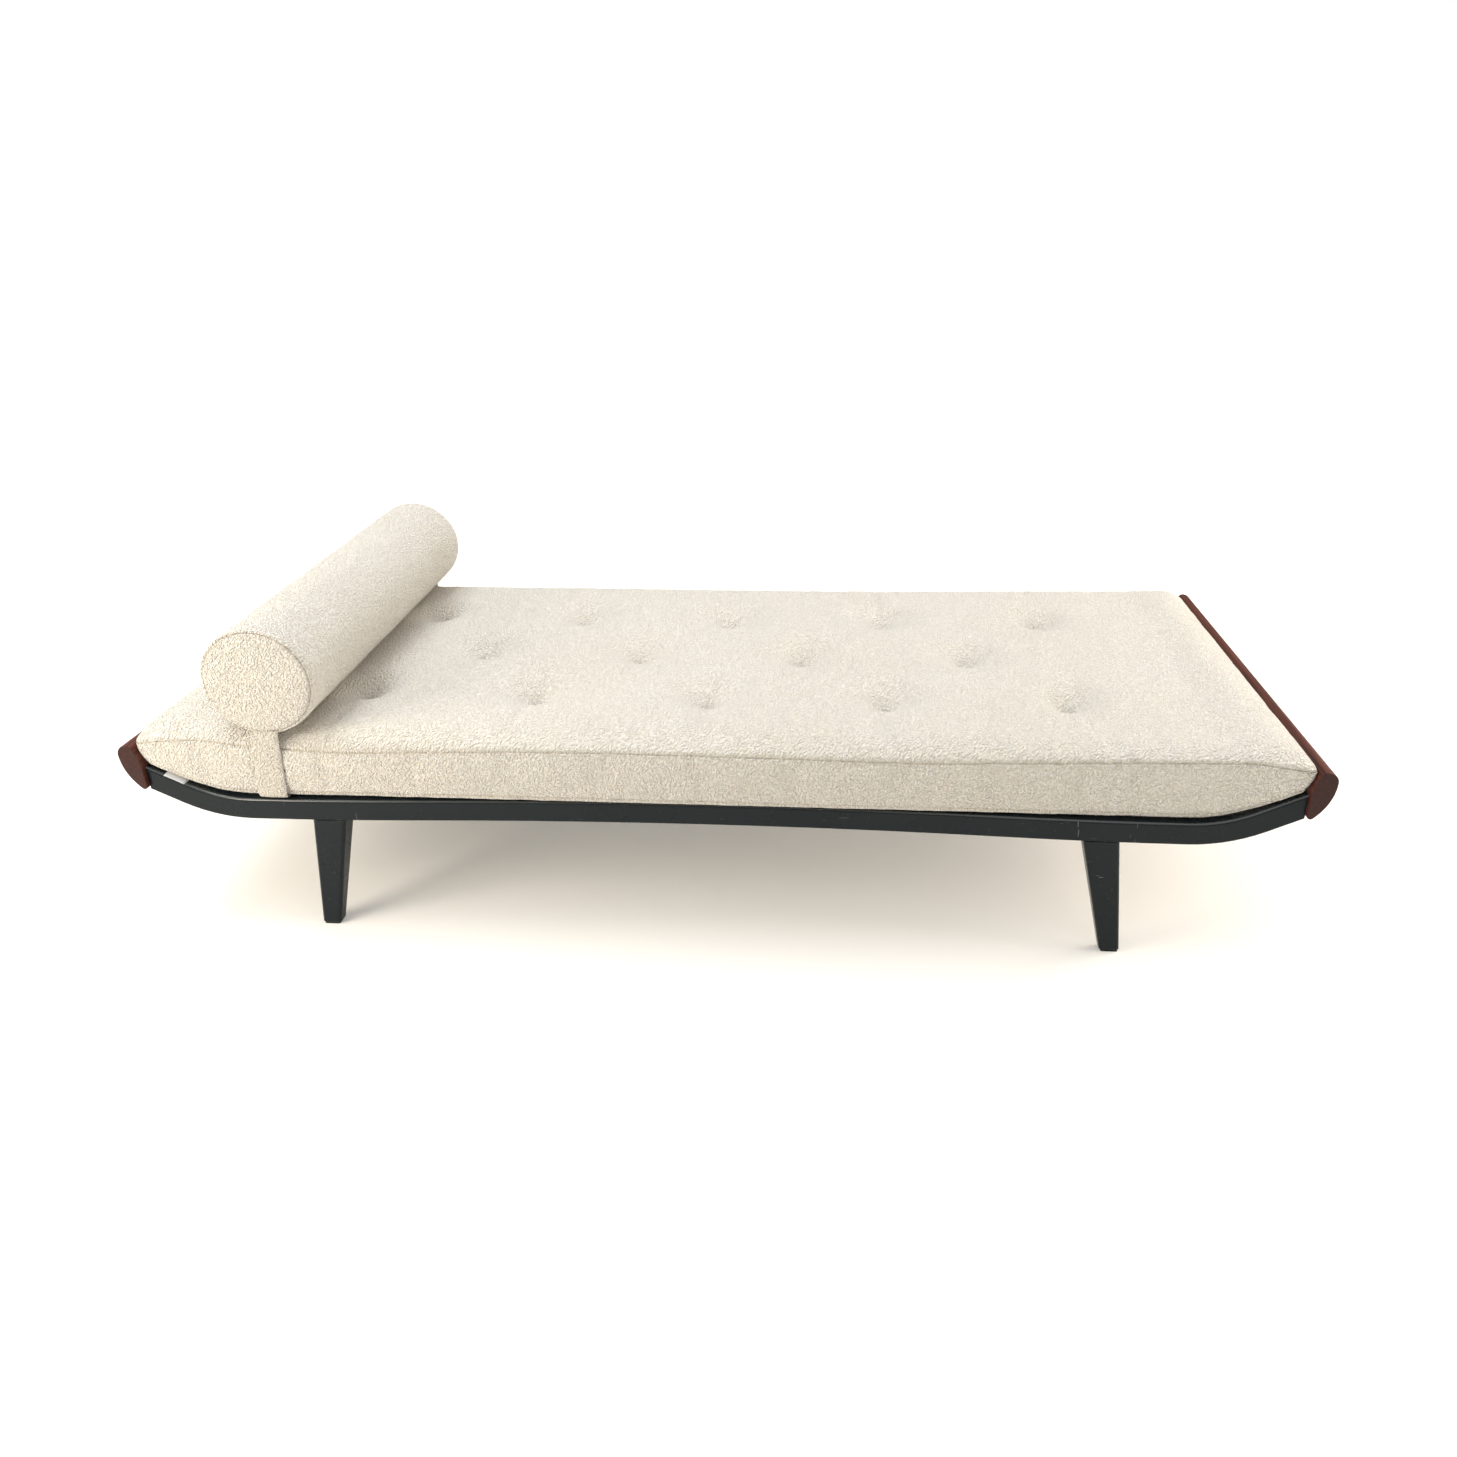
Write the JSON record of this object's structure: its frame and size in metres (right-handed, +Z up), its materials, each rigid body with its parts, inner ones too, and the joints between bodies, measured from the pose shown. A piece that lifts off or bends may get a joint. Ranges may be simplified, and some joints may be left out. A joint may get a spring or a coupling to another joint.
{
  "type": "daybed",
  "caption": "Low steel daybed with rails that turn up into wooden end rails, tapered splayed legs, a tufted bouclé mattress and a strapped bolster.",
  "frame": {"origin": "on the floor under the middle of the bed", "axes": "+X along the bed from the bolster end to the foot end, +Y from the front side to the back, +Z up"},
  "size_m": [2, 0.8, 0.5755],
  "materials": {
    "frame_paint": "satin",
    "end_rail_wood": "satin",
    "fastener_steel": "satin",
    "mesh_wire": "satin",
    "glide_plastic": "matte",
    "cream_boucle": "matte",
    "foam": "matte",
    "tie_cord": "matte",
    "label_tape": "matte"
  },
  "bodies": {
    "frame": {"side_rail_front": "frame_paint", "side_rail_back": "frame_paint", "end_rail_foot": "end_rail_wood", "end_rail_head": "end_rail_wood", "end_rail_screws": "fastener_steel", "end_bracket_foot_front": "frame_paint", "end_bracket_foot_back": "frame_paint", "end_bracket_head_front": "frame_paint", "end_bracket_head_back": "frame_paint", "leg_foot_front": "frame_paint", "leg_foot_back": "frame_paint", "leg_head_front": "frame_paint", "leg_head_back": "frame_paint", "leg_bracket_foot_front": "frame_paint", "leg_bracket_foot_back": "frame_paint", "leg_bracket_head_front": "frame_paint", "leg_bracket_head_back": "frame_paint", "foot_glide_foot_front": "glide_plastic", "foot_glide_foot_back": "glide_plastic", "foot_glide_head_front": "glide_plastic", "foot_glide_head_back": "glide_plastic", "leg_studs": "fastener_steel", "leg_washers": "fastener_steel", "leg_nuts": "fastener_steel", "cross_stretcher_foot": "frame_paint", "cross_stretcher_head": "frame_paint", "link_mesh": "mesh_wire", "mesh_end_rod_foot": "mesh_wire", "mesh_end_rod_head": "mesh_wire"},
    "mattress": {"mattress_cover": "cream_boucle", "mattress_core": "foam", "tuft_ties": "tie_cord", "care_label": "label_tape"},
    "bolster": {"bolster_cover": "cream_boucle", "bolster_core": "foam", "bolster_end_panel_front": "cream_boucle", "bolster_end_panel_back": "cream_boucle", "strap_under": "cream_boucle", "strap_front": "cream_boucle", "strap_back": "cream_boucle"}
  },
  "joints": [
    {"name": "mattress_lift", "type": "slide", "parent": "frame", "child": "mattress", "axis": [0, 0, 1], "range_m": [0, 0.2]},
    {"name": "bolster_slide", "type": "slide", "parent": "mattress", "child": "bolster", "axis": [1, 0, 0], "range_m": [-0.015, 1.5]}
  ]
}
